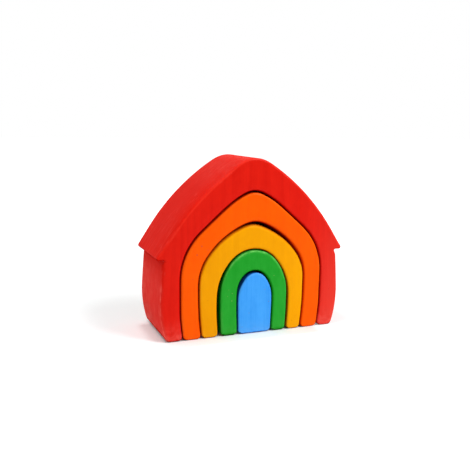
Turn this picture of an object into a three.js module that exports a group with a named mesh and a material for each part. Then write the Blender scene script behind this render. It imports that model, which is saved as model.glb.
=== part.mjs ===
// Rainbow house stacker: a thick house-shaped plank, sawn along four nested arches into five loose pieces.
// Millimetres, +Z up. The front faces look along -Y, and the origin lies on the floor under the ridge.
import * as THREE from 'three';

// Sizes that every piece shares
const plankThickness = 60; // front face to back face
const edgeRound = 1.5; // sanded round along the front and back edges
const footRound = 2.4; // sanded round at the corners of the feet
const facetError = 0.05; // how far a facet may lie inside the arc that it stands for
const shortestSide = 0.5; // straight wood that stays between two rounded corners
const sharpestTip = 0.2; // round that stays on a face's outline at its sharpest corner
const edgeSteps = 3; // facets across a sanded edge
const woodRoughness = 0.45; // satin wax over the dye

// The pieces inside the house, from the innermost out. Legs and crown are the wood between a piece's nest and
// its own outside, or between the middle line and the outside on the solid door. Each outside is a saw line:
// it leans out from the foot to a belly, rises to a shoulder and follows a roof of the given pitch to a rounded
// ridge. A bowed roof turns to a flatter pitch at a drop below the ridge. The gaps are what the saw and the
// sanding took away, beside the piece's legs and over its roof. The saw was guided by hand, so a nest lies to
// one side of the house's middle, and a ridge to one side of its piece's or nest's middle: right is positive.
const door = {
  name: 'blue_door',
  colour: 0x40a4fd,
  legAtFoot: 13.7,
  legAtBelly: 14.4,
  crownThickness: 49.6,
  bellyHeight: 21.1,
  bellyRound: 40,
  pitch: 57.4,
  shoulderRound: 22.2,
  ridgeRound: 10.7,
  ridgeShift: 0.3,
  sideGap: 1.1,
  crownGap: 2.2,
  nestCentre: 1.6,
  nestRidgeShift: -0.6,
  restShift: 0.15, // the loose piece stands to the right in its nest
};
const greenArch = {
  name: 'green_arch',
  colour: 0x26a52f,
  legAtFoot: 12.8,
  legAtBelly: 13.15,
  crownThickness: 16.25,
  bellyHeight: 17.1,
  bellyRound: 87,
  pitch: 52.2,
  shoulderRound: 40.4,
  ridgeRound: 24.7,
  ridgeShift: -0.3,
  sideGap: 2.15,
  crownGap: 0.9,
  nestCentre: 0.3,
  nestRidgeShift: -0.3,
  restShift: 0.7,
};
const yellowArch = {
  name: 'yellow_arch',
  colour: 0xf7a306,
  legAtFoot: 12.45,
  legAtBelly: 13.6,
  crownThickness: 19.3,
  bellyHeight: 21.2,
  bellyRound: 255,
  pitch: 52,
  shoulderRound: 34.7,
  ridgePitch: 20.4,
  bowDrop: 9.35,
  bowRound: 61,
  ridgeRound: 18.5,
  sideGap: 0.95,
  crownGap: 1.8,
  nestCentre: -0.3,
  nestRidgeShift: 0.5,
};
const orangeArch = {
  name: 'orange_arch',
  colour: 0xff5d07,
  legAtFoot: 14.35,
  legAtBelly: 14.25,
  crownThickness: 23.35,
  bellyHeight: 18.7,
  bellyRound: 100,
  pitch: 41.2,
  shoulderRound: 48.6,
  ridgePitch: 25.6,
  bowDrop: 8,
  bowRound: 74,
  ridgeRound: 13.8,
  ridgeShift: 0.3,
  sideGap: 0.9,
  crownGap: 1.6,
};
const nestedPieces = [door, greenArch, yellowArch, orangeArch];

// The house around them: bellied walls, and a bowed roof whose eaves reach out over notches in the walls
const house = {
  name: 'red_house',
  colour: 0xe21f13,
  legAtFoot: 12.9,
  legAtBelly: 16.5,
  legAtEave: 13.5,
  crownThickness: 25,
  bellyHeight: 18.2,
  bellyRound: 88,
  eaveHeight: 64.2,
  eaveOverhang: 6.2,
  eaveTipRound: 1.8,
  notchDepth: 1.8,
  notchHeight: 4,
  notchRootRound: 1,
  notchShoulderRound: 3,
  eavePitch: 57.4,
  ridgePitch: 32.4,
  roofBowRound: 181,
  ridgeRound: 24.6,
};

// A corner of an outline: where its two sides would meet, and the radius that rounds it off
function corner(x, z, round) {
  return { x, z, round };
}

// How far above a rounded ridge the two sides of its roof would meet
function ridgeRise(round, pitch) {
  return round * (1 / Math.cos(pitch) - 1);
}

// Mirrors the right half of an outline, from the foot to the ridge
function bothSides(rightHalf) {
  const leftHalf = rightHalf.slice(0, -1).reverse();
  return [...rightHalf, ...leftHalf.map(({ x, z, round }) => corner(-x, z, round))];
}

// One side of a saw line, from the right foot over the ridge to the left foot: a piece's own outside, or the
// nest that the same cut leaves in the next piece, which is wider by the gaps
function sawLine(line, { middle, ridgeShift, sideGap = 0, crownGap = 0 }) {
  const { bowDrop = 0, bowRound = 0, ridgePitch = line.pitch } = line;
  const steep = Math.tan(THREE.MathUtils.degToRad(line.pitch));
  const topPitch = THREE.MathUtils.degToRad(ridgePitch);
  const ridgeRound = line.ridgeRound + crownGap;
  const peak = line.crown + crownGap + ridgeRise(ridgeRound, topPitch);
  const ridge = middle + ridgeShift;
  const bowReach = bowDrop / Math.tan(topPitch);
  const bowHeight = peak - bowDrop;
  const half = (side) => {
    const wall = middle + side * (line.belly + sideGap);
    const shoulderHeight = bowHeight - (Math.abs(wall - ridge) - bowReach) * steep;
    const bow = corner(ridge + side * bowReach, bowHeight, bowRound + crownGap);
    return [
      corner(middle + side * (line.foot + sideGap), 0, footRound),
      corner(wall, line.bellyHeight, line.bellyRound + sideGap),
      corner(wall, shoulderHeight, line.shoulderRound + sideGap),
      ...(bowDrop > 0 ? [bow] : []),
    ];
  };
  return [...half(1), corner(ridge, peak, ridgeRound), ...half(-1).reverse()];
}

// The outside of the house, from the right foot over the ridge to the left foot
function houseLine(nest) {
  const eavePitch = THREE.MathUtils.degToRad(house.eavePitch);
  const ridgePitch = THREE.MathUtils.degToRad(house.ridgePitch);
  const wallTop = nest.belly + house.legAtEave;
  const eaveTip = wallTop + house.eaveOverhang;
  const peak = nest.crown + house.crownThickness + ridgeRise(house.ridgeRound, ridgePitch);
  const steepRise = house.eaveHeight + eaveTip * Math.tan(eavePitch);
  const bowX = (steepRise - peak) / (Math.tan(eavePitch) - Math.tan(ridgePitch));
  const bowHeight = peak - bowX * Math.tan(ridgePitch);
  return bothSides([
    corner(nest.foot + house.legAtFoot, 0, footRound),
    corner(nest.belly + house.legAtBelly, house.bellyHeight, house.bellyRound),
    corner(wallTop, house.eaveHeight - house.notchHeight, house.notchShoulderRound),
    corner(wallTop - house.notchDepth, house.eaveHeight, house.notchRootRound),
    corner(eaveTip, house.eaveHeight, house.eaveTipRound),
    corner(bowX, bowHeight, house.roofBowRound),
    corner(0, peak, house.ridgeRound),
  ]);
}

// How far along its sides each corner's round may reach: a small round keeps its reach, a large one what is left
function roundReaches(sides, turns, corners) {
  const count = corners.length;
  const wanted = turns.map((turn, i) => corners[i].round * Math.tan(Math.abs(turn) / 2));
  const room = (side, neighbour) => {
    const usable = side.length() - Math.min(shortestSide, side.length() / 2);
    return Math.max(usable / 2, usable - wanted[neighbour]);
  };
  return wanted.map((reach, i) => {
    const before = (i + count - 1) % count;
    return Math.min(reach, room(sides[before], before), room(sides[i], (i + 1) % count));
  });
}

// A closed outline through counter-clockwise corners, each rounded by an arc, and its tightest outer round
function roundedOutline(corners) {
  const count = corners.length;
  const points = corners.map(({ x, z }) => new THREE.Vector2(x, z));
  const sides = points.map((point, i) => points[(i + 1) % count].clone().sub(point));
  const turns = sides.map((side, i) => {
    const before = sides[(i + count - 1) % count];
    return Math.atan2(before.cross(side), before.dot(side));
  });
  const reaches = roundReaches(sides, turns, corners);
  const radii = reaches.map((reach, i) => reach / Math.tan(Math.abs(turns[i]) / 2));
  const outline = points.flatMap((point, i) => {
    if (turns[i] === 0) {
      return [point]; // the outline runs straight on here
    }
    const before = sides[(i + count - 1) % count];
    const start = point.clone().addScaledVector(before.clone().normalize(), -reaches[i]);
    const fromCentre = before.angle() - (Math.sign(turns[i]) * Math.PI) / 2;
    const spoke = (angle) => new THREE.Vector2(Math.cos(angle), Math.sin(angle)).multiplyScalar(radii[i]);
    const centre = start.clone().sub(spoke(fromCentre));
    const steps = Math.ceil(Math.abs(turns[i]) / (2 * Math.acos(1 - facetError / radii[i])));
    return Array.from({ length: steps + 1 }, (_, k) => spoke(fromCentre + (turns[i] * k) / steps).add(centre));
  });
  const tightest = Math.min(...radii.filter((_, i) => turns[i] > 0));
  return { shape: new THREE.Shape(outline), tightest };
}

// One wooden piece: its outline through the whole thickness of the plank, with sanded front and back edges
function woodenPiece({ name, colour }, corners) {
  const { shape, tightest } = roundedOutline(corners);
  const round = Math.min(edgeRound, tightest - sharpestTip);
  const straight = plankThickness - 2 * round;
  const geometry = new THREE.ExtrudeGeometry(shape, {
    depth: straight,
    bevelThickness: round,
    bevelSize: round,
    bevelOffset: -round,
    bevelSegments: edgeSteps,
  });
  geometry.translate(0, 0, -straight / 2);
  geometry.rotateX(Math.PI / 2);
  const material = new THREE.MeshStandardMaterial({ color: colour, roughness: woodRoughness, metalness: 0 });
  const mesh = new THREE.Mesh(geometry, material);
  mesh.name = name;
  return mesh;
}

// The cuts are worked from the inside out: a piece's nest is the outside of the piece in it plus the gaps
const stacker = new THREE.Group();
let nest = { foot: 0, belly: 0, crown: 0, corners: [] };
for (const piece of nestedPieces) {
  const { nestCentre = 0, restShift = 0, ridgeShift = 0, nestRidgeShift = 0, sideGap, crownGap } = piece;
  const line = {
    ...piece,
    foot: nest.foot + piece.legAtFoot,
    belly: nest.belly + piece.legAtBelly,
    crown: nest.crown + piece.crownThickness,
  };
  const outside = sawLine(line, { middle: nestCentre + restShift, ridgeShift });
  stacker.add(woodenPiece(piece, [...outside, ...nest.corners]));
  nest = {
    foot: line.foot + sideGap,
    belly: line.belly + sideGap,
    crown: line.crown + crownGap,
    corners: sawLine(line, { middle: nestCentre, ridgeShift: nestRidgeShift, sideGap, crownGap }).reverse(),
  };
}
stacker.add(woodenPiece(house, [...houseLine(nest), ...nest.corners]));

export default stacker;
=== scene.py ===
"""Rainbow house stacker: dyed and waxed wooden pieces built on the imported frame, in a white studio.

The scene is in metres. The mesh code works in millimetres and converts at the end.
"""
import math
from typing import NamedTuple

import bpy
import numpy as np
from mathutils import Matrix, Vector, geometry, noise


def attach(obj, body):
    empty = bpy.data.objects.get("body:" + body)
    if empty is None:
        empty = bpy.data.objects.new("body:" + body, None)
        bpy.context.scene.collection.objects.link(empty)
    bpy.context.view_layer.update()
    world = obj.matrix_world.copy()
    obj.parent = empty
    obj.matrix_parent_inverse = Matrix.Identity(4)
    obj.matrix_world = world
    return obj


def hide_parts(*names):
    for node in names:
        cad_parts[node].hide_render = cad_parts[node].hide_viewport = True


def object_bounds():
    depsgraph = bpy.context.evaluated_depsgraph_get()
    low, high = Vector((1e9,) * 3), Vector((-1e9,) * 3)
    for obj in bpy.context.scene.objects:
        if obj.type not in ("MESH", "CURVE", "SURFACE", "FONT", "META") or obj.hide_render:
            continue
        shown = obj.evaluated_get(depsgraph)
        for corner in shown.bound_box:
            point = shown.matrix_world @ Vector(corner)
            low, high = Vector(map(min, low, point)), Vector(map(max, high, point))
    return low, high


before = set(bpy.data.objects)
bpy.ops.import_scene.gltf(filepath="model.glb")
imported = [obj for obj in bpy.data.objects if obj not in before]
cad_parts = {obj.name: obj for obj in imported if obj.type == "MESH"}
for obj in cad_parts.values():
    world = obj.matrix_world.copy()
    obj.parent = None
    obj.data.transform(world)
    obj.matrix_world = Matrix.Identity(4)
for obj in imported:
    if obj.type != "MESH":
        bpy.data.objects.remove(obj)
cad_low, cad_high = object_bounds()

MM = 0.001
MM_PER_METRE = 1000
HALF_DEPTH = MM_PER_METRE * cad_high.y
FRONT, BACK = -1, 1
HOUSE = "red_house"


# Pieces

class Swell(NamedTuple):
    """A place on a crown that departs from the saw line, in millimetres."""
    amount: float
    middle: float  # in x
    half_width: float


class Piece(NamedTuple):
    """One wooden piece and its finish. Rounds and heights are in millimetres.

    Where a value is a place on a sanded edge, 0 is the face and 1 is the wall.
    """
    name: str
    node: str
    body: str
    slot: str
    seed: int
    outer: float  # sanded round along the edges of the outer walls
    roof: float  # along the edges of the roof
    nest: float  # along the edges of the nest
    rubbed_and_lit: float  # how much paler the edges are made, by handling and by painted highlights
    scuff_and_sheen: float  # how much paler the feet are towards the floor: scuffs, and a painted reflection of the floor
    foot_shade_from: float  # place on a foot's edge where the painted contact shadow starts
    dark_from: float  # place on an outer edge where the wall's painted shade starts
    nest_dark_from: float  # the same place in the nest
    pale_foot_height: float = 14
    nest_open: tuple = ()  # swells that open the nest at the front
    nest_close: tuple = ()  # swells that close the nest behind
    roof_low: tuple = ()  # swells that lower the roof at the front
    roof_full: tuple = ()  # swells that fill the roof at half depth


PIECES = [
    Piece("house_wood", HOUSE, "house", "red_wood", seed=3, outer=2.0, roof=1.7, nest=1.6,
          rubbed_and_lit=1.0, scuff_and_sheen=1.0, foot_shade_from=0.1, dark_from=0.7, nest_dark_from=0.5, pale_foot_height=22),
    Piece("orange_wood_arch", "orange_arch", "orange", "orange_wood", seed=11, outer=1.6, roof=1.9, nest=2.0,
          rubbed_and_lit=0.4, scuff_and_sheen=0.2, foot_shade_from=0.5, dark_from=0.82, nest_dark_from=0.55,
          nest_open=(Swell(0.6, 4, 14),), nest_close=(Swell(0.65, 27, 13),),
          roof_full=(Swell(1.25, -33, 15), Swell(0.85, 33, 15))),
    Piece("yellow_wood_arch", "yellow_arch", "yellow", "yellow_wood", seed=23, outer=1.6, roof=2.3, nest=1.7,
          rubbed_and_lit=0.4, scuff_and_sheen=0.2, foot_shade_from=0.4, dark_from=0.5, nest_dark_from=0.65,
          roof_low=(Swell(0.8, 20, 13),)),
    Piece("green_wood_arch", "green_arch", "green", "green_wood", seed=37, outer=1.7, roof=2.3, nest=1.6,
          rubbed_and_lit=1.4, scuff_and_sheen=0.2, foot_shade_from=-0.15, dark_from=0.65, nest_dark_from=0.42),
    Piece("blue_wood_door", "blue_door", "door", "blue_wood", seed=51, outer=1.2, roof=1.6, nest=1.5,
          rubbed_and_lit=0.35, scuff_and_sheen=0.6, foot_shade_from=0.2, dark_from=0.9, nest_dark_from=0.4),
]


# Outlines

LEVEL_ERROR = 0.01  # vertices this close to one depth belong to the same loop
KEY_DIGITS = 3
HEIGHT_WEIGHT = 8  # a loop starts at the vertex nearest the middle of the floor, where height counts more
SHORT_SIDE, LONG_SIDE = 1.0, 2.0  # a side under the first between two over the second is a sliver
CURVE_STEP, CURVE_LEAST = 0.08, 4  # spacing of the first curve, and the fewest points to a side
EVEN_STEP = 0.1  # spacing of the even loop that is drawn from it
HEADING_POINTS, HEADING_SPAN = 3, 0.6  # points to either side that give a direction, and their distance
CALM_BEND = 0.12  # under this bend a loop is eased
CALM_POINTS, CALM_STEP = 80, 5  # and only this far from its tight corners, tried in these steps
EASE_WIDTH, EASE_BLEND_WIDTH, FOOT_EASE_WIDTH, BEND_WIDTH = 151, 81, 81, 11  # windows of averages, in points
FOOT_EASE_HEIGHTS = (7, 4)  # from the first down to the second, the corners of the feet are eased more
TURN_PER_STEP, LEAST_BEND = 0.11, 1e-6  # turn between two points of the final loop, and the least that counts
FINEST, COARSEST = 0.22, 1.3  # limits of its spacing
SPACING_POINTS, SPACING_STEP = 8, 2  # how far a fine spacing spreads to either side, and in which steps
HEART = (0, 25)  # a point inside every nest, in x and z


class Outline(NamedTuple):
    """A closely sampled loop: places in x and z, outward normals, lengths along it and how fast it turns."""
    points: np.ndarray
    normals: np.ndarray
    arc: np.ndarray
    bend: np.ndarray


def ramp(values, start, end):
    """0 up to the start, 1 from the end on and straight in between. The end may lie below the start."""
    return np.clip((values - start) / (end - start), 0, 1)


def outline_of(node):
    """The loop of a node's straight walls, in millimetres as (x, z), counter-clockwise from the front."""
    mesh = node.data
    co = MM_PER_METRE * np.array([v.co for v in mesh.vertices])
    level = -np.abs(co[:, 1]).min()
    places, ids = {}, np.full(len(co), -1)
    for i in np.flatnonzero(np.abs(co[:, 1] - level) < LEVEL_ERROR):
        key = (round(co[i, 0], KEY_DIGITS), round(co[i, 2], KEY_DIGITS))
        ids[i] = places.setdefault(key, len(places))
    links = {k: set() for k in range(len(places))}
    for edge in mesh.edges:
        a, b = (ids[v] for v in edge.vertices)
        if a >= 0 and b >= 0 and a != b:
            links[a].add(b)
            links[b].add(a)
    points = np.array(list(places))
    start = int(np.argmin(np.hypot(points[:, 0], HEIGHT_WEIGHT * points[:, 1])))
    loop, last = [start], None
    while True:
        here = loop[-1]
        step = next(k for k in sorted(links[here]) if k != last)
        if step == start:
            break
        last = here
        loop.append(step)
    loop = points[loop]
    x, z = loop.T
    area = np.sum(x * np.roll(z, -1) - np.roll(x, -1) * z)
    return loop if area > 0 else loop[::-1]


def without_slivers(loop):
    """Joins the two ends of a very short side between two long ones."""
    length = np.hypot(*(np.roll(loop, -1, 0) - loop).T)
    out, skip = [], False
    for i in range(len(loop)):
        if skip:
            skip = False
            continue
        after = (i + 1) % len(loop)
        if length[i] < SHORT_SIDE and length[i - 1] > LONG_SIDE and length[after] > LONG_SIDE:
            out.append((loop[i] + loop[after]) / 2)
            skip = True
        else:
            out.append(loop[i])
    return np.array(out)


def blurred(values, width):
    """A closed run of values, averaged over a window of the given odd width."""
    kernel = np.hanning(width + 2)[1:-1]
    half = width // 2
    ring = np.concatenate([values[-half:], values, values[:half]])
    return np.convolve(ring, kernel / kernel.sum(), "valid")


def blurred_points(points, width):
    """A closed run of points, averaged in the same way."""
    return np.stack([blurred(points[:, k], width) for k in (0, 1)], 1)


def least_nearby(values, reach, step):
    """The least of a closed run of values within a number of points to either side."""
    return np.minimum.reduce([np.roll(values, k) for k in range(-reach, reach + 1, step)])


def heading(points):
    """The direction of an evenly sampled loop at each point, and how fast it turns there."""
    k = HEADING_POINTS
    ahead = np.roll(points, -k, 0) - np.roll(points, k, 0)
    angle = np.unwrap(np.arctan2(ahead[:, 1], ahead[:, 0]))
    turn = np.roll(angle, -k) - np.roll(angle, k)
    turn = (turn + math.pi) % (2 * math.pi) - math.pi
    return angle, blurred(turn / HEADING_SPAN, BEND_WIDTH)


def eased(points):
    """Takes the last kinks out of an evenly sampled loop, away from its tight corners and at its feet."""
    calm = least_nearby(np.abs(heading(points)[1]) < CALM_BEND, CALM_POINTS, CALM_STEP)
    share = blurred(calm.astype(float), EASE_BLEND_WIDTH)[:, None]
    points = points + share * (blurred_points(points, EASE_WIDTH) - points)
    feet = ramp(points[:, 1:], *FOOT_EASE_HEIGHTS)
    return points + feet * (blurred_points(points, FOOT_EASE_WIDTH) - points)


def curve_through(loop):
    """A smooth curve through the corners of a faceted loop, closely sampled."""
    length = np.hypot(*(np.roll(loop, -1, 0) - loop).T)
    tangent = np.roll(loop, -1, 0) - np.roll(loop, 1, 0)
    tangent /= np.hypot(*tangent.T)[:, None]
    curve = []
    for i in range(len(loop)):
        j = (i + 1) % len(loop)
        t = np.linspace(0, 1, max(CURVE_LEAST, int(length[i] / CURVE_STEP)), endpoint=False)[:, None]
        h = (2 * t**3 - 3 * t**2 + 1, t**3 - 2 * t**2 + t, -2 * t**3 + 3 * t**2, t**3 - t**2)
        curve.append(h[0] * loop[i] + h[1] * length[i] * tangent[i]
                     + h[2] * loop[j] + h[3] * length[i] * tangent[j])
    return np.concatenate(curve)


def read_at(places, arc, loop):
    """The points of a closed loop at the given lengths along it."""
    ring = np.vstack([loop, loop[:1]])
    return np.stack([np.interp(places, arc, ring[:, k]) for k in (0, 1)], 1)


def smooth_outline(loop):
    """Runs a smooth curve through a faceted loop and samples it closely where it bends."""
    loop = without_slivers(loop)
    curve = curve_through(loop)
    step = np.hypot(*(np.roll(curve, -1, 0) - curve).T)
    arc = np.concatenate([[0], np.cumsum(step)])
    total = arc[-1]
    even = np.linspace(0, total, int(total / EVEN_STEP), endpoint=False)
    even_arc = np.append(even, total)
    even_points = eased(read_at(even, arc, curve))
    angle, bend = heading(even_points)
    spacing = np.clip(TURN_PER_STEP / np.maximum(np.abs(bend), LEAST_BEND), FINEST, COARSEST)
    spacing = least_nearby(spacing, SPACING_POINTS, SPACING_STEP)
    share = np.concatenate([[0], np.cumsum(even[1] / spacing)])
    count = int(round(share[-1]))
    at = np.interp(np.arange(count) * share[-1] / count, share, even_arc)
    points = np.clip(read_at(at, even_arc, even_points), loop.min(0), loop.max(0))
    closing = angle[0] + 2 * math.pi * round((angle[-1] - angle[0]) / (2 * math.pi))
    angle = np.interp(at, even_arc, np.append(angle, closing))
    normals = np.stack([np.sin(angle), -np.cos(angle)], 1)
    return Outline(points, normals, at, np.interp(at, even, bend))


def faces_out(outline):
    """Which points of an outline lie on the piece's outside, and not in its nest."""
    return np.sum(outline.normals * (outline.points - HEART), 1) > 0


# Sanded edges

FOOT_ROUND, CRISP_ROUND, LEAST_ROUND = 1.2, 0.9, 0.7
FACE_REACH, WALL_REACH = 1.25, 0.95  # a sanded round reaches further over the face than down the wall
ROUND_STEPS, WALL_STEPS = 10, 12  # rows across an edge, and between the two edges
ROOF_UP, FOOT_UP = 0.25, -0.7  # a normal that points up more than the first is the roof's, less the feet's
FOOT_HEIGHT = 4
CRISP_FROM = 12  # the house's walls to the right of this keep a crisp edge, as does its back
ROUND_WOBBLE = 0.16  # how much the sanding varies along an edge
BROAD_WOBBLE, FINE_WOBBLE, FINE_SHARE = 17, 6, 0.6  # over these lengths, and the finer one's share
BROAD_OFFSET, FINE_OFFSET, FINE_SEED = 9.1, 4.3, 5  # so that both edges and both lengths differ
CORNER_REACH, FOOT_CORNER_REACH = 0.75, 0.4  # a round takes at most this share of a corner's own radius
FOOT_CORNER_HEIGHT, STRAIGHT_BEND = 5, 1e-3  # the second share holds below this height
ROUND_SLOPE, ROUND_BLUR = 0.3, 1.2  # how fast a round may grow along the edge, and how far it is evened out


def edge_rounds(piece, outline, side):
    """The sanded round along an edge: larger on the roof, smaller in the nest and at sharp corners."""
    points, normals, arc, bend = outline
    x, z = points.T
    outward, up = faces_out(outline), normals[:, 1]
    roof = outward & (up > ROOF_UP)
    rounds = np.where(outward, piece.outer, piece.nest)
    rounds = np.where(roof, piece.roof, rounds)
    rounds = np.where((up < FOOT_UP) & (z < FOOT_HEIGHT), FOOT_ROUND, rounds)
    if piece.node == HOUSE:
        crisp = outward & ((side == BACK) | (x > CRISP_FROM) & ~roof)
        rounds = np.where(crisp, np.minimum(rounds, CRISP_ROUND), rounds)
    wobble = [noise.noise((s / BROAD_WOBBLE, side * BROAD_OFFSET, piece.seed))
              + FINE_SHARE * noise.noise((s / FINE_WOBBLE, side * FINE_OFFSET, piece.seed + FINE_SEED))
              for s in arc]
    rounds = rounds * (1 + ROUND_WOBBLE * np.array(wobble))
    reach = np.where(z < FOOT_CORNER_HEIGHT, FOOT_CORNER_REACH, CORNER_REACH)
    limit = reach / np.maximum(bend, STRAIGHT_BEND) / FACE_REACH
    rounds = np.minimum(rounds, np.maximum(limit, LEAST_ROUND))
    total = arc[-1] + (arc[1] - arc[0])
    gap = np.abs(arc[:, None] - arc[None, :])
    gap = np.minimum(gap, total - gap)
    rounds = np.min(rounds[None, :] + ROUND_SLOPE * gap, 1)
    weight = np.exp(-((gap / ROUND_BLUR) ** 2))
    return (weight @ rounds) / weight.sum(1)


# Finish and painted light: what is cut, handled and belt-sanded, and where shade, highlights and sheen are
# painted, at each point of an outline

UNDERSIDE_UP = -0.3  # the house's outside gets painted shade where it points down more than this
FOOT_END_UP, FOOT_END_HEIGHT = -0.5, 3  # the ends of the feet
UPRIGHT = (0.75, 0.9)  # from the first to the second, the sideways part of a normal makes it a wall's
BELT_LEAST, BELT_WALL, RIDGE_SHEEN, RIDGE_SHEEN_UP = 0.025, 0.765, 0.3, (0.7, 0.95)  # belt marks, and where; near the ridge they are a painted sheen
BELT_BELOW_EAVE = 0.9  # share of them that is missing below the eaves, where shade is painted
WORN_LIT_WIDTH = 0.3  # width of a paler line across an edge, in radians, for handling marks and painted highlights
HIGHLIGHT_ANGLE, ARCH_WORN_LIT_ANGLE = math.radians(60), math.radians(50)  # its place on the edge, from the wall
LEFT_WORN_LIT_ANGLE, RIGHT_WORN_LIT_ANGLE = math.radians(18), math.radians(58)
EAVE_SHADE = 0.12  # painted shade under the eaves
FOOT_SHADE_REACH, FOOT_SHADE_DARK = 0.45, 2  # how fast and how much a painted contact shadow darkens a foot towards its underside
LEG_DARK_FROM, LEG_SHARE, LEG_HEIGHTS = 0.95, 0.4, (52, 37)  # the painted shade on the legs' outsides starts nearer to the wall
CROWN_DARK, CROWN_MIDDLE, CROWN_WIDTH, CROWN_HEIGHT = 0.8, 3, 16, 60  # painted shade at the top of the nests

# The house's handling marks, painted highlights and painted shade: strengths, and the places in x or z, or
# the normal's upward parts, where they come in
HIGHLIGHT_X, HIGHLIGHT_LEAST_X = (20, -20), 0.1
HIGHLIGHT_Z, HIGHLIGHT_LEAST_Z, HIGHLIGHT_UP = (40, 110), 0.2, 0.3
LEFT_WORN_LIT, LEFT_WORN_LIT_Z = 1.2, (47, 41)
RIGHT_WORN_LIT, RIGHT_WORN_LIT_X = 0.35, (5, 25)
# A painted highlight along the ridge top; the roof is also made paler near the ridge
RIDGE_TOP, RIDGE_TOP_UP = 0.5, (0.78, 0.98)
RIDGE_SIDES, RIDGE_SIDES_Z = 0.2, (114, 130)
BELOW_EAVE_Z, EAVE_Z = (40, 60), 63
PALE_END, PALE_END_Z, PALE_END_POWER = 0.5, (62, 50), 1.5

# The inner pieces' crowns, scuffed paler and painted with a highlight where they face up: upward parts,
# strength away from the middle and at it, and width
CROWN_WORN_LIT_UP = (0.05, 0.65)
CROWN_WORN_LIT_SIDES, CROWN_WORN_LIT_MIDDLE, CROWN_WORN_LIT_WIDTH = 0.5, 0.5, 14


class Marks(NamedTuple):
    """The finish and the painted light at each point of an outline."""
    cut: np.ndarray  # the saw-cut walls that get painted shade, and how dark
    dark_from: np.ndarray  # place on the edge where the painted shade starts
    foot: np.ndarray
    belt_and_sheen: np.ndarray  # belt-sanded, and a painted sheen near the ridge
    below_eave: np.ndarray
    rubbed_and_lit: np.ndarray  # thinned along a line on the edge by handling, and painted lighter there as a highlight
    worn_lit_angle: np.ndarray  # the place of that line
    bright: np.ndarray  # painted highlight along the roof's edges
    ridge: np.ndarray  # painted highlight along the ridge, across the whole wall
    pale_end: np.ndarray  # paler towards the back


def house_marks(outline, outward, wall):
    """Where the house gets painted shade, painted highlights and the paler marks of handling."""
    x, z = outline.points.T
    up = outline.normals[:, 1]
    left = x < 0
    cut = ~outward | (up < UNDERSIDE_UP)
    # Painted highlight on the edges that face up, stronger to the left and higher up
    highlit = np.maximum(ramp(x, *HIGHLIGHT_X), HIGHLIGHT_LEAST_X) * np.maximum(ramp(z, *HIGHLIGHT_Z), HIGHLIGHT_LEAST_Z)
    left_wall = LEFT_WORN_LIT * wall * left * ramp(z, *LEFT_WORN_LIT_Z) * ~cut
    right_side = RIGHT_WORN_LIT * ramp(x, *RIGHT_WORN_LIT_X) * ~cut
    ridge = np.maximum(RIDGE_TOP * ramp(up, *RIDGE_TOP_UP) ** 2, RIDGE_SIDES * ramp(z, *RIDGE_SIDES_Z))
    return {
        "cut": cut,
        "bright": highlit * (up > HIGHLIGHT_UP) * ~cut,
        "rubbed_and_lit": np.where(left, left_wall, right_side),
        "worn_lit_angle": np.where(left, LEFT_WORN_LIT_ANGLE, RIGHT_WORN_LIT_ANGLE),
        "ridge": ridge * outward,
        "below_eave": wall * ramp(z, *BELOW_EAVE_Z) * outward * (z < EAVE_Z),
        "pale_end": PALE_END * wall * left * outward * ramp(z, *PALE_END_Z),
    }


def arch_marks(outline, outward):
    """An inner piece gets painted shade on its walls all round, and its crown edge is scuffed paler and
    painted with a highlight.
    """
    x, up = outline.points[:, 0], outline.normals[:, 1]
    none = np.zeros(len(x))
    near_middle = CROWN_WORN_LIT_SIDES + CROWN_WORN_LIT_MIDDLE * np.exp(-(x / CROWN_WORN_LIT_WIDTH) ** 2)
    return {
        "cut": np.ones(len(x), bool),
        "bright": none,
        "rubbed_and_lit": ramp(up, *CROWN_WORN_LIT_UP) * outward * near_middle,
        "worn_lit_angle": np.full(len(x), ARCH_WORN_LIT_ANGLE),
        "ridge": none,
        "below_eave": none,
        "pale_end": none,
    }


def finish_marks(piece, outline):
    """The finish of a piece along its outline, and where light and shade are painted on it."""
    x, z = outline.points.T
    across, up = outline.normals.T
    outward = faces_out(outline)
    wall = ramp(np.abs(across), *UPRIGHT)
    found = house_marks(outline, outward, wall) if piece.node == HOUSE else arch_marks(outline, outward)
    # Painted shade at the top of the nests
    crown = CROWN_DARK * np.exp(-(((x - CROWN_MIDDLE) / CROWN_WIDTH) ** 2)) * (z > CROWN_HEIGHT) * ~outward
    found["cut"] = found["cut"] * (1 + crown)
    found["rubbed_and_lit"] = found["rubbed_and_lit"] * piece.rubbed_and_lit
    # Belt marks on the outside, with a painted sheen towards the ridge
    belt_and_sheen = outward * (BELT_LEAST + BELT_WALL * wall + RIDGE_SHEEN * ramp(up, *RIDGE_SHEEN_UP))
    belt_and_sheen = belt_and_sheen * (1 - BELT_BELOW_EAVE * found["below_eave"])
    later = (LEG_DARK_FROM - piece.dark_from) * LEG_SHARE * ramp(z, *LEG_HEIGHTS)
    dark_from = np.where(outward, piece.dark_from + later, piece.nest_dark_from)
    foot = (up < FOOT_END_UP) & (z < FOOT_END_HEIGHT)
    return Marks(belt_and_sheen=belt_and_sheen, dark_from=dark_from, foot=foot, **found)


# Rows of vertices

HOLLOW, HOLLOW_ALONG, HOLLOW_DEEP = 0.05, 14, 19  # hollows in the walls: depth, and size both ways
HOLLOW_FADE = 4  # they fade out over one part in this many at either edge


class Row(NamedTuple):
    """One row of vertices round an outline, and the finish and painted light at each of them."""
    places: np.ndarray
    wear_and_highlight: np.ndarray
    edge_highlight: np.ndarray
    belt_and_sheen: np.ndarray
    painted_shade: np.ndarray


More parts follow.
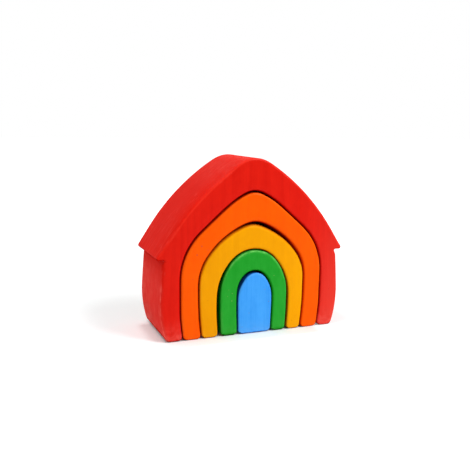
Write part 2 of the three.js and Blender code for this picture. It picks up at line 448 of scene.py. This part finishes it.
def finished_row(piece, marks, places, wear_and_highlight, edge_highlight, turned):
    """A row with its sanding marks and painted sheen, and its painted shade. It is turned from 0, at the
    face, to 1, at the wall.
    """
    # Painted shade on the saw-cut walls
    painted_shade = ramp(turned, marks.dark_from, 1) * marks.cut
    # Painted shade under the eaves
    painted_shade = np.maximum(painted_shade, EAVE_SHADE * turned * marks.below_eave)
    # Painted contact shadow along the feet's undersides
    painted_shade = np.where(marks.foot, FOOT_SHADE_DARK * np.clip((turned - piece.foot_shade_from) / FOOT_SHADE_REACH, 0, 1), painted_shade)
    return Row(places, wear_and_highlight, edge_highlight, turned * marks.belt_and_sheen, painted_shade)


def edge_rows(piece, outline, marks, side):
    """The rows across a sanded edge, from the face to the wall."""
    rounds = edge_rounds(piece, outline, side)
    rows = []
    for angle in np.linspace(math.pi / 2, 0, ROUND_STEPS + 1):
        inset = FACE_REACH * rounds * (1 - math.cos(angle))
        depth = side * (HALF_DEPTH - WALL_REACH * rounds * (1 - math.sin(angle)))
        flat = outline.points - outline.normals * inset[:, None]
        turned = math.cos(angle)
        wear_and_highlight = marks.rubbed_and_lit * np.exp(-((angle - marks.worn_lit_angle) / WORN_LIT_WIDTH) ** 2) + marks.ridge * turned
        if side == BACK:
            wear_and_highlight = wear_and_highlight + marks.pale_end * turned
        edge_highlight = marks.bright * math.exp(-((angle - HIGHLIGHT_ANGLE) / WORN_LIT_WIDTH) ** 2)
        places = np.column_stack([flat[:, 0], depth, flat[:, 1]])
        rows.append(finished_row(piece, marks, places, wear_and_highlight, edge_highlight, turned))
    return rows


def wall_rows(piece, outline, marks, first, last):
    """The rows between the two edges, with the shallow hollows that sanding leaves."""
    rows = []
    for k in range(1, WALL_STEPS):
        t = k / WALL_STEPS
        places = first * (1 - t) + last * t
        hollow = [HOLLOW * (1 + noise.noise((s / HOLLOW_ALONG, y / HOLLOW_DEEP, piece.seed)))
                  for s, y in zip(outline.arc, places[:, 1])]
        fade = min(1, HOLLOW_FADE * t, HOLLOW_FADE * (1 - t))
        places[:, [0, 2]] -= outline.normals * (np.array(hollow) * fade)[:, None]
        wear_and_highlight = marks.ridge + marks.pale_end * t**PALE_END_POWER
        rows.append(finished_row(piece, marks, places, wear_and_highlight, 0 * marks.bright, 1.0))
    return rows


# The cut wanders between front and back: places in depth, from the middle of the plank

FRONT_FROM, FRONT_TO = -15, -30  # the front's departures grow between these
BEHIND_FROM, BEHIND_TO = -8, 12  # those behind
FULL_REACH = 26  # those at half depth end here
SWELL_HEIGHT = 55  # swells lie above this
ROOF_SANDED = 1.7  # sanded off the left side of the house's roof towards the front
ROOF_SANDED_X, ROOF_SANDED_Z = (-5, -30), (62, 84)


def swelled(outline, swells):
    """How far an outline departs from the saw line."""
    x, z = outline.points.T
    out = np.zeros(len(x))
    for amount, middle, half_width in swells:
        out += amount * np.exp(-(((x - middle) / half_width) ** 2)) * (z > SWELL_HEIGHT)
    return out


def follow_cut(piece, outline, rows):
    """Moves the rows with the cut, which takes off wood at the front and leaves more behind."""
    outward = faces_out(outline)
    if piece.node == HOUSE:
        x, z = outline.points.T
        front = ROOF_SANDED * ramp(x, *ROOF_SANDED_X) * ramp(z, *ROOF_SANDED_Z) * outward
    else:
        front = swelled(outline, piece.nest_open) * ~outward + swelled(outline, piece.roof_low) * outward
    behind = swelled(outline, piece.nest_close) * ~outward
    full = swelled(outline, piece.roof_full) * outward
    for row in rows:
        y = row.places[:, 1]
        lower = front * ramp(y, FRONT_FROM, FRONT_TO) ** 2
        lower = lower - behind * ramp(y, BEHIND_FROM, BEHIND_TO)
        lower = lower - full * np.clip(1 - (y / FULL_REACH) ** 2, 0, 1) ** 2
        row.places[:, [0, 2]] -= outline.normals * lower[:, None]


# Meshes

FACE_GRID, GRID_ROW = 2.2, 0.87  # spacing of the vertices on a face, and of their rows as a share of it
GRID_MARGIN = 1.1  # they keep this far from the face's border
FACE_HOLLOW, FACE_HOLLOW_ACROSS, FACE_HOLLOW_UP = 0.04, 21, 27  # hollows in the faces: depth, and size
FACE_HOLLOW_FADE, FACE_HOLLOW_SEED = 6, 7  # they fade out this far from the border, and differ on the back
WELD = 1e-5
UV_LENGTH = 100  # millimetres to one unit of the walls' own coordinates


def inside(points, loop):
    """Which points lie inside a closed loop."""
    x, z = points[:, :1], points[:, 1:]
    ax, az = loop.T
    bx, bz = np.roll(loop, -1, 0).T
    crosses = (az > z) != (bz > z)
    with np.errstate(divide="ignore", invalid="ignore"):
        at = ax + (z - az) * (bx - ax) / (bz - az)
    return np.sum(crosses & (x < at), 1) % 2 == 1


def face_grid(border):
    """A grid of points inside a face's border, and how far each lies from it."""
    low, high = border.min(0), border.max(0)
    grid = []
    for k, z in enumerate(np.arange(low[1], high[1], FACE_GRID * GRID_ROW)):
        shift = FACE_GRID / 2 * (k % 2)
        grid += [(x + shift, z) for x in np.arange(low[0], high[0], FACE_GRID)]
    grid = np.array(grid)
    grid = grid[inside(grid, border)]
    away = np.sqrt(np.min(np.sum((grid[:, None] - border[None]) ** 2, 2), 1))
    kept = away > GRID_MARGIN
    return grid[kept], away[kept]


def flat_face(piece, border, side):
    """A face's own vertices, and its triangles as numbers of the border's points and then of its own."""
    grid, away = face_grid(border)
    coords = [Vector(p) for p in np.vstack([border, grid])]
    ring = [list(range(len(border)))]
    _, _, triangles, origin, _, _ = geometry.delaunay_2d_cdt(coords, [], ring, 1, WELD)
    seed = piece.seed + FACE_HOLLOW_SEED * side
    hollow = [FACE_HOLLOW * (1 + noise.noise((x / FACE_HOLLOW_ACROSS, z / FACE_HOLLOW_UP, seed)))
              * min(1, d / FACE_HOLLOW_FADE) for (x, z), d in zip(grid, away)]
    verts = np.column_stack([grid[:, 0], side * (HALF_DEPTH - np.array(hollow)), grid[:, 1]])
    return verts, [[origin[k][0] for k in triangle] for triangle in triangles]


def wall_faces(rows, arc):
    """The faces between the rows, and the walls' own coordinates: along the outline and through the depth."""
    count = len(arc)
    faces, seams = [], []
    for r in range(len(rows) - 1):
        for i in range(count):
            j = (i + 1) % count
            faces.append((r * count + i, (r + 1) * count + i, (r + 1) * count + j, r * count + j))
            start, end = arc[i], arc[j] if j else arc[-1] + arc[1]
            near, far = rows[r].places[i, 1], rows[r + 1].places[i, 1]
            seams += [(start, near), (start, far), (end, far), (end, near)]
    return faces, seams


def wooden_piece(piece):
    """A piece with sanded edges: rows of vertices from front to back round its walls, and gridded faces."""
    outline = smooth_outline(outline_of(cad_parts[piece.node]))
    marks = finish_marks(piece, outline)
    front, back = (edge_rows(piece, outline, marks, side) for side in (FRONT, BACK))
    rows = front + wall_rows(piece, outline, marks, front[-1].places, back[-1].places) + back[::-1]
    follow_cut(piece, outline, rows)

    count = len(outline.points)
    verts = np.concatenate([row.places for row in rows])
    faces, seams = wall_faces(rows, outline.arc)
    for side, row, base in ((FRONT, rows[0], 0), (BACK, rows[-1], (len(rows) - 1) * count)):
        own, triangles = flat_face(piece, row.places[:, [0, 2]], side)
        for triangle in triangles:
            ids = [base + k if k < count else len(verts) + k - count for k in triangle]
            faces.append(ids if side == FRONT else ids[::-1])
            seams += [(0, 0)] * 3
        verts = np.concatenate([verts, own])

    mesh = bpy.data.meshes.new(piece.name)
    mesh.from_pydata((verts * MM).tolist(), [], faces)
    mesh.uv_layers.new(name="profile").data.foreach_set("uv", (np.array(seams) / UV_LENGTH).ravel())
    for name in ("wear_and_highlight", "edge_highlight", "belt_and_sheen", "painted_shade"):
        values = np.concatenate([getattr(row, name) for row in rows])
        values = np.append(values, np.zeros(len(verts) - len(values)))
        if name == "wear_and_highlight":
            # Feet paler towards the floor: scuffs, and a painted reflection of the white floor
            values += piece.scuff_and_sheen * np.clip(1 - verts[:, 2] / piece.pale_foot_height, 0, 1) ** 2
        mesh.attributes.new(name, "FLOAT", "POINT").data.foreach_set("value", values.astype(np.float32))
    mesh.shade_smooth()
    mesh.validate()
    obj = bpy.data.objects.new(piece.name, mesh)
    bpy.context.scene.collection.objects.link(obj)
    return obj


# Materials

NOISE_MIDDLE = 0.5


class Nodes:
    """A short way to write a node tree."""

    def __init__(self, owner):
        owner.use_nodes = True
        self.tree = owner.node_tree
        self.tree.nodes.clear()

    def add(self, kind, inputs=None, **settings):
        """A new node, with its inputs linked or set."""
        made = self.tree.nodes.new("ShaderNode" + kind)
        for key, value in settings.items():
            setattr(made, key, value)
        for key, value in (inputs or {}).items():
            self.put(made.inputs[key], value)
        return made

    def put(self, socket, value):
        if isinstance(value, bpy.types.NodeSocket):
            self.tree.links.new(value, socket)
        else:
            socket.default_value = value

    def math(self, operation, a, b=0.0, clamp=False):
        return self.add("Math", {0: a, 1: b}, operation=operation, use_clamp=clamp).outputs[0]

    def product(self, first, *others):
        for value in others:
            first = self.math("MULTIPLY", first, value)
        return first

    def swing(self, value, amount):
        """A noise from 0 to 1, as a swing of the given amount to either side."""
        return self.math("MULTIPLY", self.math("SUBTRACT", value, NOISE_MIDDLE), 2 * amount)

    def vector(self, operation, a, b=(0, 0, 0)):
        return self.add("VectorMath", {0: a, 1: b}, operation=operation).outputs[0]

    def length(self, vector):
        return self.add("VectorMath", {0: vector}, operation="LENGTH").outputs["Value"]

    def noise(self, vector, texture, output="Fac"):
        moved = self.vector("MULTIPLY", vector, texture.scale)
        inputs = {"Vector": moved, "Scale": 1.0, "Detail": texture.detail, "Roughness": texture.roughness}
        value = self.add("TexNoise", inputs).outputs[output]
        return self.spread(value, *texture.spread) if texture.spread else value

    def attribute(self, name):
        return self.add("Attribute", attribute_name=name).outputs["Fac"]

    def spread(self, value, low, high, to_low=0.0, to_high=1.0, smooth=False):
        """A range of a value, stretched to another range and held at both ends."""
        inputs = {"Value": value, "From Min": low, "From Max": high, "To Min": to_low, "To Max": to_high}
        kind = "SMOOTHSTEP" if smooth else "LINEAR"
        return self.add("MapRange", inputs, interpolation_type=kind).outputs["Result"]

    def mix(self, share, a, b):
        made = self.add("Mix", {"Factor": share}, data_type="RGBA")
        colours = [s for s in made.inputs if s.type == "RGBA"]
        self.put(colours[0], a)
        self.put(colours[1], b)
        return next(s for s in made.outputs if s.type == "RGBA")

    def tint(self, colour, share, strength, towards):
        """A colour, taken towards another by a share of the given strength."""
        return self.mix(self.math("MULTIPLY", share, strength), colour, (*towards, 1))

    def seen(self):
        """1 where the camera, a reflection or a clear material looks, and 0 where light is gathered."""
        paths = self.add("LightPath")
        looks = self.math("MAXIMUM", paths.outputs["Is Camera Ray"], paths.outputs["Is Glossy Ray"])
        return self.math("MAXIMUM", looks, paths.outputs["Is Transmission Ray"])


class Dye(NamedTuple):
    """The dye of one piece, and the colours of its painted light, as linear values."""
    name: str
    deep: tuple  # where the wood takes up most
    pale: tuple  # where it takes up least
    worn_and_lit: tuple  # where hands and the belt have thinned it, and the colour of painted highlights and sheen
    speck: tuple
    bright: tuple = (1, 1, 1)  # the colour of the painted highlights on the edges
    rings: float = 0.35  # how strongly the growth rings and the fibres show
    streaks: float = 0.3
    lean: tuple = (0, 0)  # how much paler per 100 mm to the right and upwards; upwards it is painted light, darker at the top and paler low down where the floor's bounce falls
    right_end: tuple = None  # the right end's colour
    wax: float = 0.08
    bands: tuple = ()  # upright bands in the grain: place, half width and how much paler
    spots: tuple = ()  # specks on the front: x, z and radius


class Texture(NamedTuple):
    """A noise, and the range that is cut out of it: low and high, which become 0 and 1 or the last two."""
    scale: tuple
    detail: float = 2.0
    roughness: float = 0.5
    spread: tuple = ()


# Scales per millimetre across the plank, through it and along the grain
WANDER = Texture((0.03, 0.03, 0.009), 1.0)
FIBRE = Texture((0.75, 0.75, 0.018), 3.0, 0.6)
PORES = Texture((3.2, 3.2, 0.11), 1.0, spread=(0.66, 0.78))
BLOTCHES = Texture((0.035, 0.035, 0.022))
MOTTLES = Texture((0.32, 0.32, 0.22), 4.0, 0.6)
WORN_LIT_PATCHES = Texture((0.2, 0.2, 0.2), 4.0, 0.6, (0.38, 0.62, 0.25, 1.2))
WAX_ROUGHNESS = Texture((0.22, 0.22, 0.08), 3.0, spread=(0.3, 0.7, 0.38, 0.50))

# Scales in the walls' own coordinates, along the outline and through the depth
SAW_LINES = Texture((85, 2.5, 1), 3.0, 0.6)
BELT_MARKS = Texture((4, 34, 1), 5.0, 0.68)
BELT_PATCHES = Texture((3.2, 5.5, 1), spread=(0.35, 0.6, 0.35, 1.0))
SCRATCHES = Texture((16, 64, 1), 3.0, 0.6, (0.56, 0.72))
SCRATCH_PATCHES = Texture((5, 7, 1), 1.0, spread=(0.46, 0.62))

# Ranges of other values, in the same form
LATE_WOOD, YEAR_END, RING_STRENGTH = (0.15, 0.9), (0.92, 1.0, 1.0, 0.0), (0.0, 1.0, 0.35, 1.0)
RIGHT_END_X, RIGHT_END_Z, RIGHT_END_FIBRE = (38, 78), (20, 85, 1.0, 0.3), (0.3, 0.7, 0.7, 0.95)
# How the saw lines vary the painted shade, and how dark that shade gets
SAW_LINE_SHADE, PAINTED_SHADE_SPREAD = (0.3, 0.7, 0.82, 1.18), (0.0, 2.0, 1.0, 0.16)
WEAK_FADE, STRONG_FADE = 3, 1  # powers of that shade for the weakest and the strongest part of a colour
BELT_LINES, BELT_IN_SHADE = (0.5, 0.66), (0.1, 0.6, 1.0, 0.15)
SCRATCH_OUTSIDE, SCRATCH_IN_SHADE = (0.0, 0.02), (0.1, 0.5, 1.0, 0.06)
SPECK_EDGE, SPECK_RARE = (0.045, 0.085, 1.0, 0.0), 0.86

PITH, RING_WIDTH = (4, 78, 0), 2.9  # the growth rings' middle, behind the plank
WANDER_REACH = (9, 9, 0)  # how far the grain wanders, in millimetres
TONE, TONE_HEIGHT, LEAN_LENGTH = 0.62, 40, 100  # between deep and pale, at this height, and the lean's unit
BLOTCH_SWING, MOTTLE_SWING, PORE_DARK = 0.35, 0.35, 0.25
SPECK_SCALE, SPOT_CORE = (0.16, 0.16, 0.16), 0.5  # specks per millimetre, and the darkest part of a spot
SCUFF_SHEEN_TINT, SCRATCH_TINT, WORN_LIT_TINT, HIGHLIGHT_TINT, SPECK_TINT = 0.45, 0.35, 0.55, 0.3, 0.38
WORN_POLISH, SCUFF_DULL = 0.06, 0.08  # what handled and highlit edges take off the roughness, and scuffs add to it
FIBRE_RELIEF, BELT_RELIEF, PORE_RELIEF = 0.6, 0.5, 0.5
BUMP_STRENGTH, BUMP_DISTANCE = 0.12, 0.0003
COAT_ROUGHNESS, COAT_FADE, COAT_IN_SHADE = 0.30, 0.2, 0.05  # the wax all but ends where the shade is painted


def linear(*srgb):
    """A colour written as 0 to 255 sRGB, as the shader's linear values."""
    shares = (v / 255 for v in srgb)
    return tuple((c / 12.92 if c <= 0.04045 else ((c + 0.055) / 1.055) ** 2.4) for c in shares)


def growth_rings(n, grown):
    """Rings around a pith behind the plank: broad upright bands in front, arcs on the roof and the feet."""
    from_pith = n.vector("MULTIPLY", n.vector("SUBTRACT", grown, PITH), (1, 1, 0))
    radius = n.math("DIVIDE", n.length(from_pith), RING_WIDTH)
    year = n.math("FLOOR", radius)
    part = n.math("SUBTRACT", radius, year)
    late = n.product(n.spread(part, *LATE_WOOD, smooth=True), n.spread(part, *YEAR_END))
    strength = n.add("TexWhiteNoise", {"W": year}, noise_dimensions="1D").outputs["Value"]
    return n.product(late, n.spread(strength, *RING_STRENGTH))


def dyed_colour(n, dye, place, grown, fibre, pore):
    """The dye on the wood, from deep to pale with the grain, the rings, the pores and the blotches, with
    painted light that changes with height.
    """
    x, _, z = n.add("SeparateXYZ", {"Vector": place}).outputs
    tone = n.math("ADD", TONE, n.swing(fibre, dye.streaks))
    tone = n.math("ADD", tone, n.swing(n.noise(place, BLOTCHES), BLOTCH_SWING))
    tone = n.math("ADD", tone, n.swing(n.noise(place, MOTTLES), MOTTLE_SWING))
    tone = n.math("SUBTRACT", tone, n.product(growth_rings(n, grown), dye.rings))
    tone = n.math("ADD", tone, n.product(x, dye.lean[0] / LEAN_LENGTH))
    # Painted light: darker towards the top, paler low down where the floor's bounce falls
    above = n.math("SUBTRACT", z, TONE_HEIGHT)
    tone = n.math("ADD", tone, n.product(above, dye.lean[1] / LEAN_LENGTH))
    across = n.add("SeparateXYZ", {"Vector": grown}).outputs["X"]
    for middle, half_width, paler in dye.bands:
        away = n.math("ABSOLUTE", n.math("SUBTRACT", across, middle))
        tone = n.math("ADD", tone, n.spread(away, 0, half_width, paler, 0, smooth=True))
    tone = n.math("SUBTRACT", tone, n.product(pore, PORE_DARK), clamp=True)
    colour = n.mix(tone, (*dye.deep, 1), (*dye.pale, 1))
    if dye.right_end:
        end = n.product(n.spread(x, *RIGHT_END_X, smooth=True), n.spread(z, *RIGHT_END_Z))
        colour = n.mix(n.product(end, n.spread(fibre, *RIGHT_END_FIBRE)), colour, (*dye.right_end, 1))
    return colour


def shaded_colour(n, dye, colour, painted_shade):
    """Painted shade on the walls between the pieces, under the eaves and along the feet, which takes the
    weaker parts of the colour first.
    """
    shade = n.spread(painted_shade, *PAINTED_SHADE_SPREAD)
    powers = [WEAK_FADE - (WEAK_FADE - STRONG_FADE) * c / max(dye.pale) for c in dye.pale]
    fades = [n.math("POWER", shade, power) for power in powers]
    return n.vector("MULTIPLY", colour, n.add("CombineXYZ", dict(zip("XYZ", fades))).outputs[0])


def scratches(n, profile, belt_and_sheen, painted_shade):
    """A few short scratches, fainter where the shade is painted."""
    lines, patches = n.noise(profile, SCRATCHES), n.noise(profile, SCRATCH_PATCHES)
    return n.product(lines, patches, n.spread(belt_and_sheen, *SCRATCH_OUTSIDE), n.spread(painted_shade, *SCRATCH_IN_SHADE))


def specks(n, dye, place):
    """Small specks all over, and the larger ones on the front."""
    cells = n.add("TexVoronoi", {"Vector": n.vector("MULTIPLY", place, SPECK_SCALE), "Scale": 1.0})
    pick = n.add("SeparateColor", {"Color": cells.outputs["Color"]}).outputs["Red"]
    near = n.spread(cells.outputs["Distance"], *SPECK_EDGE)
    dots = n.product(near, n.math("GREATER_THAN", pick, SPECK_RARE))
    for x, z, radius in dye.spots:
        away = n.length(n.vector("SUBTRACT", place, (x, -HALF_DEPTH, z)))
        dots = n.math("MAXIMUM", dots, n.spread(away, SPOT_CORE * radius, radius, 1.0, 0.0))
    return dots


def dyed_wood(dye):
    """Pale close-grained wood under translucent dye and satin wax, with upright grain through the plank, and
    painted shade and highlights.
    """
    material = bpy.data.materials.new(dye.name)
    n = Nodes(material)
    place = n.vector("MULTIPLY", n.add("TexCoord").outputs["Object"], (MM_PER_METRE,) * 3)
    wander = n.vector("SUBTRACT", n.noise(place, WANDER, output="Color"), (NOISE_MIDDLE,) * 3)
    grown = n.vector("ADD", place, n.vector("MULTIPLY", wander, WANDER_REACH))
    fibre, pore = n.noise(grown, FIBRE), n.noise(grown, PORES)
    colour = dyed_colour(n, dye, place, grown, fibre, pore)

    # Painted shade on the walls between the pieces, varied by faint lines that the saw left across them
    profile = n.add("UVMap", uv_map="profile").outputs["UV"]
    lines = n.noise(profile, SAW_LINES)
    painted_shade = n.product(n.attribute("painted_shade"), n.spread(lines, *SAW_LINE_SHADE))
    colour = shaded_colour(n, dye, colour, painted_shade)

    # Belt marks along the outside with a painted sheen near the ridge, scratches, handled edges with painted
    # highlights, and specks
    belt_and_sheen, wear_and_highlight = n.attribute("belt_and_sheen"), n.attribute("wear_and_highlight")
    marks, patches = n.noise(profile, BELT_MARKS), n.noise(profile, BELT_PATCHES)
    scuff_and_sheen = n.product(n.spread(marks, *BELT_LINES), patches, belt_and_sheen, n.spread(painted_shade, *BELT_IN_SHADE))
    rubbed_and_lit = n.product(wear_and_highlight, n.noise(place, WORN_LIT_PATCHES))
    colour = n.tint(colour, scuff_and_sheen, SCUFF_SHEEN_TINT, dye.worn_and_lit)
    colour = n.tint(colour, scratches(n, profile, belt_and_sheen, painted_shade), SCRATCH_TINT, dye.worn_and_lit)
    colour = n.tint(colour, rubbed_and_lit, WORN_LIT_TINT, dye.worn_and_lit)
    colour = n.tint(colour, n.attribute("edge_highlight"), HIGHLIGHT_TINT, dye.bright)
    colour = n.tint(colour, specks(n, dye, place), SPECK_TINT, dye.speck)

    # Satin wax, duller on the belt marks, over raised fibres, marks and lines
    roughness = n.math("SUBTRACT", n.noise(place, WAX_ROUGHNESS), n.product(wear_and_highlight, WORN_POLISH))
    roughness = n.math("ADD", roughness, n.product(scuff_and_sheen, SCUFF_DULL))
    height = n.math("ADD", n.product(fibre, FIBRE_RELIEF), n.product(marks, n.product(belt_and_sheen, BELT_RELIEF)))
    height = n.math("ADD", height, n.product(lines, n.math("MINIMUM", painted_shade, 1.0)))
    height = n.math("SUBTRACT", height, n.product(pore, PORE_RELIEF))
    bump = n.add("Bump", {"Strength": BUMP_STRENGTH, "Distance": BUMP_DISTANCE, "Height": height})
    shader = n.add("BsdfPrincipled", {
        "Base Color": colour,
        "Roughness": roughness,
        "Normal": bump.outputs["Normal"],
        "Specular IOR Level": 0.0,  # only the wax reflects
        "Coat Weight": n.spread(painted_shade, 0.0, COAT_FADE, dye.wax, COAT_IN_SHADE * dye.wax),
        "Coat Roughness": COAT_ROUGHNESS,
    })
    n.add("OutputMaterial", {"Surface": shader.outputs[0]})
    return material


WOODS = {
    "red_wood": dyed_wood(Dye(
        "red_dyed_wood", deep=linear(212, 21, 9), pale=linear(229, 31, 17), worn_and_lit=linear(244, 100, 88),
        speck=linear(150, 14, 10), bright=linear(255, 66, 48), right_end=linear(234, 63, 51), wax=0.085,
        bands=((-25.8, 1.6, -0.12), (-4.7, 1.8, -0.15), (2.0, 3.5, 0.15), (8.5, 2.6, -0.12)))),
    "orange_wood": dyed_wood(Dye(
        "orange_dyed_wood", deep=linear(250, 82, 0), pale=linear(255, 97, 0), worn_and_lit=linear(255, 140, 50),
        speck=linear(175, 40, 80), rings=0.2, spots=((-43.3, 73.5, 0.8), (-47.1, 67.0, 0.8)))),
    "yellow_wood": dyed_wood(Dye(
        "yellow_dyed_wood", deep=linear(235, 151, 0), pale=linear(248, 166, 0), worn_and_lit=linear(255, 194, 50),
        speck=linear(205, 106, 10), rings=0.2, streaks=0.25, lean=(0.5, 0),
        bands=((-27.5, 2.2, 0.25), (-18.0, 1.3, 0.2), (17.5, 1.0, -0.15)), spots=((34.9, 6.9, 0.7),))),
    "green_wood": dyed_wood(Dye(
        "green_dyed_wood", deep=linear(25, 151, 35), pale=linear(43, 167, 50), worn_and_lit=linear(124, 218, 108),
        speck=linear(160, 176, 110), rings=0.25, lean=(0.1, -0.9),
        spots=((-21.1, 37.4, 0.4), (-18.0, 34.3, 0.5), (-21.9, 32.2, 0.4), (-18.3, 28.3, 0.65),
               (17.8, 46.0, 0.45)))),
    "blue_wood": dyed_wood(Dye(
        "blue_dyed_wood", deep=linear(49, 147, 241), pale=linear(72, 168, 252), worn_and_lit=linear(128, 186, 240),
        speck=linear(120, 100, 170), rings=0.3, streaks=0.5, lean=(0, -0.7),
        spots=((10.1, 35.3, 0.7), (13.6, 25.0, 0.7), (-3.4, 17.0, 0.5), (-9.3, 6.0, 0.6)))),
}

for piece in PIECES:
    wood = wooden_piece(piece)
    wood.data.materials.append(WOODS[piece.slot])
    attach(wood, piece.body)
    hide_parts(piece.node)


# Studio, in metres

FLOOR_SIZE, FLOOR_DROP = 12, 0.0001
PAPER = (0.87, 0.90, 0.90, 1)
WHITE = (1, 1, 1, 1)
SHADE_SHIFT, SHADE_HALF = (0.013, 0.012, 0), (0.063, 0.029, 0)  # the floor's darkest place, under the toy
LIFT_NEAR, LIFT_FAR = (0, 0.01, 0.02, 1), (0.2, 0.6, 0.25, 0.9)  # added light beside it, and further out
SKY_LIGHT = 0.26  # strength of the white sky as a light
LAMP_SIZE, LAMP_TARGET = 0.5, (0, 0, 0.07)
LAMPS = [
    ("key_lamp", (0.50, -0.50, 0.757), 8.0),
    ("top_lamp", (-0.342, 0, 0.99), 4.4),
    ("side_lamp", (-0.94, 0, 0.392), 1.85),
]


def floor_material():
    """A floor lit and shaded as paper, with added light in the picture so that only the shadow is grey."""
    material = bpy.data.materials.new("studio_floor")
    n = Nodes(material)
    place = n.vector("MULTIPLY", n.add("TexCoord").outputs["Object"], (1, 1, 0))
    beside = n.vector("ABSOLUTE", n.vector("ADD", place, SHADE_SHIFT))
    beside = n.length(n.vector("MAXIMUM", n.vector("SUBTRACT", beside, SHADE_HALF)))
    near = n.spread(beside, *LIFT_NEAR, smooth=True)
    far = n.spread(n.length(place), *LIFT_FAR, smooth=True)
    lift = n.add("Emission", {"Color": WHITE, "Strength": n.product(n.seen(), n.product(near, far))})
    paper = n.add("BsdfDiffuse", {"Color": PAPER})
    both = n.add("AddShader", {0: paper.outputs[0], 1: lift.outputs[0]})
    n.add("OutputMaterial", {"Surface": both.outputs[0]})
    return material


def white_sky():
    """A world that looks white and gives a little even light."""
    world = bpy.data.worlds.new("studio")
    n = Nodes(world)
    sky = n.add("Background", {"Color": WHITE, "Strength": n.spread(n.seen(), 0.0, 1.0, SKY_LIGHT, 1.0)})
    n.add("OutputWorld", {"Surface": sky.outputs[0]})
    return world


def soft_lamp(name, place, energy):
    """A square lamp that shines on the toy."""
    data = bpy.data.lights.new(name, "AREA")
    data.shape = "SQUARE"
    data.size = LAMP_SIZE
    data.energy = energy
    lamp = bpy.data.objects.new(name, data)
    lamp.location = place
    lamp.rotation_mode = "QUATERNION"
    lamp.rotation_quaternion = (Vector(LAMP_TARGET) - Vector(place)).to_track_quat("-Z", "Y")
    bpy.context.scene.collection.objects.link(lamp)


bpy.ops.mesh.primitive_plane_add(size=FLOOR_SIZE, location=(0, 0, -FLOOR_DROP))
floor = bpy.context.object
floor.name = "studio_floor"
floor.data.materials.append(floor_material())
bpy.context.scene.world = white_sky()
for lamp in LAMPS:
    soft_lamp(*lamp)


# Camera, from the photograph's viewing angle: its target and distance are in millimetres

AZIMUTH, ELEVATION, ROLL = math.radians(-21.893), math.radians(9.971), math.radians(0.782)
CAMERA_TARGET, DISTANCE = Vector((-4.24, 0.18, 75.09)), 521.9
FOCAL_PIXELS, IMAGE_PIXELS, SENSOR_WIDTH = 633.06, 470, 36
CLIP_START, CLIP_END = 0.01, 20


def photo_camera():
    """A camera that looks at the target, turned a little about its own axis."""
    level = math.cos(ELEVATION)
    back = Vector((math.sin(AZIMUTH) * level, -math.cos(AZIMUTH) * level, math.sin(ELEVATION)))
    level_right = (-back).cross(Vector((0, 0, 1))).normalized()
    level_up = level_right.cross(-back)
    right = math.cos(ROLL) * level_right + math.sin(ROLL) * level_up
    up = -math.sin(ROLL) * level_right + math.cos(ROLL) * level_up
    data = bpy.data.cameras.new("camera")
    data.sensor_width = SENSOR_WIDTH
    data.lens = FOCAL_PIXELS / IMAGE_PIXELS * SENSOR_WIDTH
    data.clip_start, data.clip_end = CLIP_START, CLIP_END
    camera = bpy.data.objects.new("camera", data)
    turn = Matrix((right, up, back)).transposed().to_4x4()
    camera.matrix_world = Matrix.Translation((CAMERA_TARGET + DISTANCE * back) * MM) @ turn
    bpy.context.scene.collection.objects.link(camera)
    return camera


bpy.context.scene.camera = photo_camera()
bpy.context.scene.view_settings.view_transform = "Standard"
